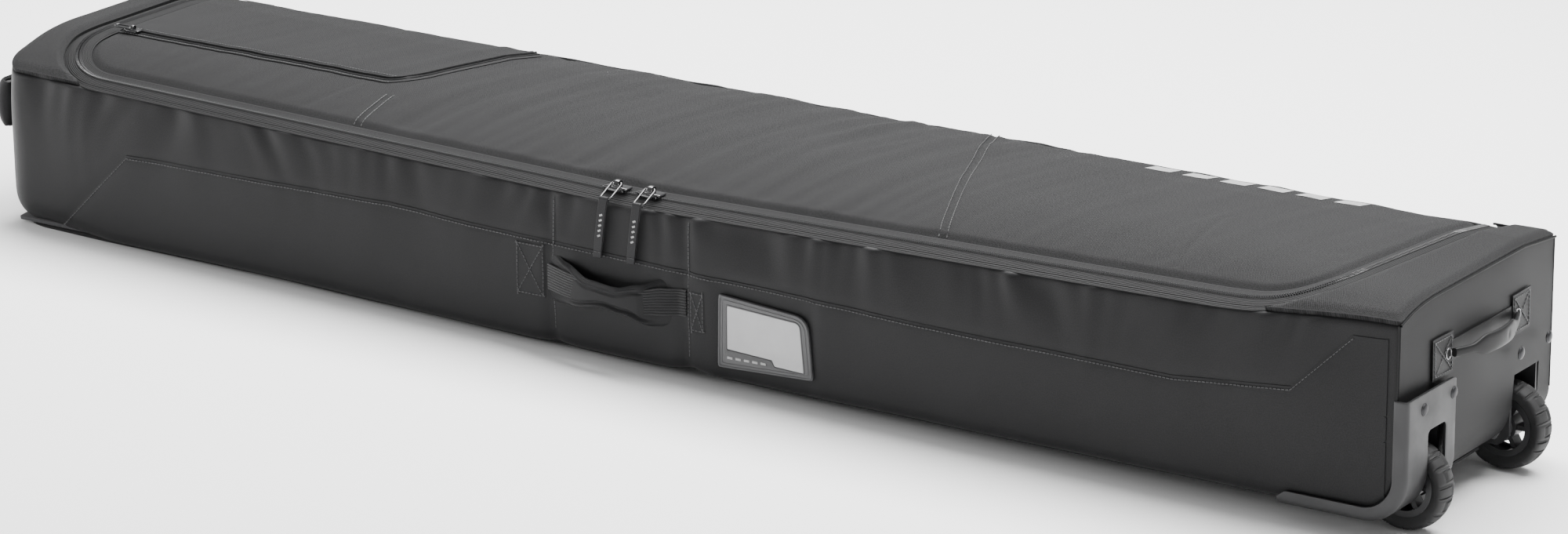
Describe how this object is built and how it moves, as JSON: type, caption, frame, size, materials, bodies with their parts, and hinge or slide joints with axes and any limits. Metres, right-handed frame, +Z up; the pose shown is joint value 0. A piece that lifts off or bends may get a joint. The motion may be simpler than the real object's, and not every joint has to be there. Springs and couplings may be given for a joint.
{
  "type": "snowboard bag",
  "caption": "Long padded wheeled bag for a snowboard: zipped lid with an outer pocket, wheels on steel corner brackets, carry handles at the front and both ends.",
  "frame": {"origin": "middle of the flat base, at the middle of the length between the end walls to within 6 mm", "axes": "+X along the bag towards the wheels, -Y the front side with the carry handle, +Z up out of the lid"},
  "size_m": [1.73, 0.346, 0.2353],
  "materials": {
    "side_fabric": "smooth woven polyester, soft sheen",
    "base_fabric": "coated woven polyester",
    "end_fabric": "smooth coated fabric",
    "top_fabric": "heathered heavy weave",
    "zip_tape": "ribbed tape",
    "zip_teeth": "moulded coil",
    "board": "extruded sheet",
    "foam": "closed-cell foam",
    "bracket": "satin grey powder coat",
    "rivet": "dark",
    "plate": "plain",
    "steel": "bright",
    "housing": "moulded",
    "moulded_rubber": "moulded, satin",
    "window": "clear vinyl",
    "card": "plain grey card",
    "webbing": "ribbed webbing",
    "eyelet": "bright ring",
    "print": "pale print",
    "label": "woven label",
    "slider": "gloss black",
    "pull_cloth": "coated cloth tab",
    "tyre": "moulded rubber",
    "rim": "black, satin",
    "grip": "moulded, satin"
  },
  "bodies": {
    "tub": {"base_panel": "base_fabric", "base_board": "board", "front_wall": "side_fabric", "back_wall": "side_fabric", "far_end_wall": "side_fabric", "wheel_end_panel": "end_fabric", "front_reinforcement": "side_fabric", "back_reinforcement": "side_fabric", "wheel_end_cap": "top_fabric", "far_end_cap": "top_fabric", "zip_tape_tub": "zip_tape", "zip_teeth_tub": "zip_teeth", "wheel_bracket_front": "bracket", "wheel_bracket_back": "bracket", "wheel_housing_front": "housing", "wheel_housing_back": "housing", "bracket_rivets": "rivet", "backing_plates": "plate", "axle_front": "steel", "axle_back": "steel", "axle_nuts": "steel", "id_frame": "moulded_rubber", "id_window": "window", "id_card": "card", "side_handle_anchors": "side_fabric", "end_handle_base": "webbing", "end_handle_eyelets": "eyelet", "far_handle_anchors": "webbing", "back_strap_loop": "webbing"},
    "lid": {"lid_panel": "top_fabric", "lid_foam": "foam", "zip_tape_lid": "zip_tape", "zip_teeth_lid": "zip_teeth", "pocket_panel": "top_fabric", "pocket_flap": "top_fabric", "pocket_zip": "zip_teeth", "print_patch": "print", "lid_label": "label"},
    "slider_left": {"slider_left": "slider"},
    "slider_right": {"slider_right": "slider"},
    "pull_left": {"pull_ring_left": "slider", "pull_tab_left": "pull_cloth"},
    "pull_right": {"pull_ring_right": "slider", "pull_tab_right": "pull_cloth"},
    "pocket_slider": {"pocket_slider": "slider"},
    "pocket_pull": {"pocket_pull": "slider"},
    "wheel_front": {"tyre_front": "tyre", "rim_front": "rim", "bearings_front": "steel"},
    "wheel_back": {"tyre_back": "tyre", "rim_back": "rim", "bearings_back": "steel"},
    "side_handle": {"side_handle_strap": "webbing", "side_handle_sleeve": "side_fabric"},
    "end_handle": {"end_handle_grip": "grip"},
    "far_handle": {"far_handle_strap": "webbing"}
  },
  "joints": [
    {"name": "lid_hinge", "type": "hinge", "parent": "tub", "child": "lid", "pos_m": [0, 0.1475, 0.1881], "axis": [-1, 0, 0], "range_deg": [0, 110]},
    {"name": "slider_left_slide", "type": "slide", "parent": "lid", "child": "slider_left", "axis": [-0.9998, 0, 0.019], "range_m": [0, 0.62]},
    {"name": "slider_right_slide", "type": "slide", "parent": "lid", "child": "slider_right", "axis": [0.9998, 0, 0.0215], "range_m": [0, 0.63]},
    {"name": "pull_left_swing", "type": "hinge", "parent": "slider_left", "child": "pull_left", "pos_m": [-0.052, -0.138, 0.16978], "axis": [-1, 0, 0], "range_deg": [0, 165]},
    {"name": "pull_right_swing", "type": "hinge", "parent": "slider_right", "child": "pull_right", "pos_m": [-0.012, -0.138, 0.16983], "axis": [-1, 0, 0], "range_deg": [0, 165]},
    {"name": "pocket_slide", "type": "slide", "parent": "lid", "child": "pocket_slider", "axis": [0.9999, 0, -0.0153], "range_m": [0, 0.32]},
    {"name": "pocket_pull_swing", "type": "hinge", "parent": "pocket_slider", "child": "pocket_pull", "pos_m": [-0.745, -0.044, 0.2022], "axis": [0, 1, 0], "range_deg": [0, 150]},
    {"name": "wheel_front_spin", "type": "hinge", "parent": "tub", "child": "wheel_front", "pos_m": [0.81, -0.1, 0.013], "axis": [0, 1, 0], "continuous": true},
    {"name": "wheel_back_spin", "type": "hinge", "parent": "tub", "child": "wheel_back", "pos_m": [0.81, 0.1, 0.013], "axis": [0, 1, 0], "continuous": true},
    {"name": "side_handle_pull", "type": "slide", "parent": "tub", "child": "side_handle", "axis": [0, -1, 0], "range_m": [0, 0.02]},
    {"name": "end_handle_swing", "type": "hinge", "parent": "tub", "child": "end_handle", "pos_m": [0.83, 0, 0.134], "axis": [0, 1, 0], "range_deg": [-20, 20]},
    {"name": "far_handle_pull", "type": "slide", "parent": "tub", "child": "far_handle", "axis": [-1, 0, 0], "range_m": [0, 0.015]}
  ]
}
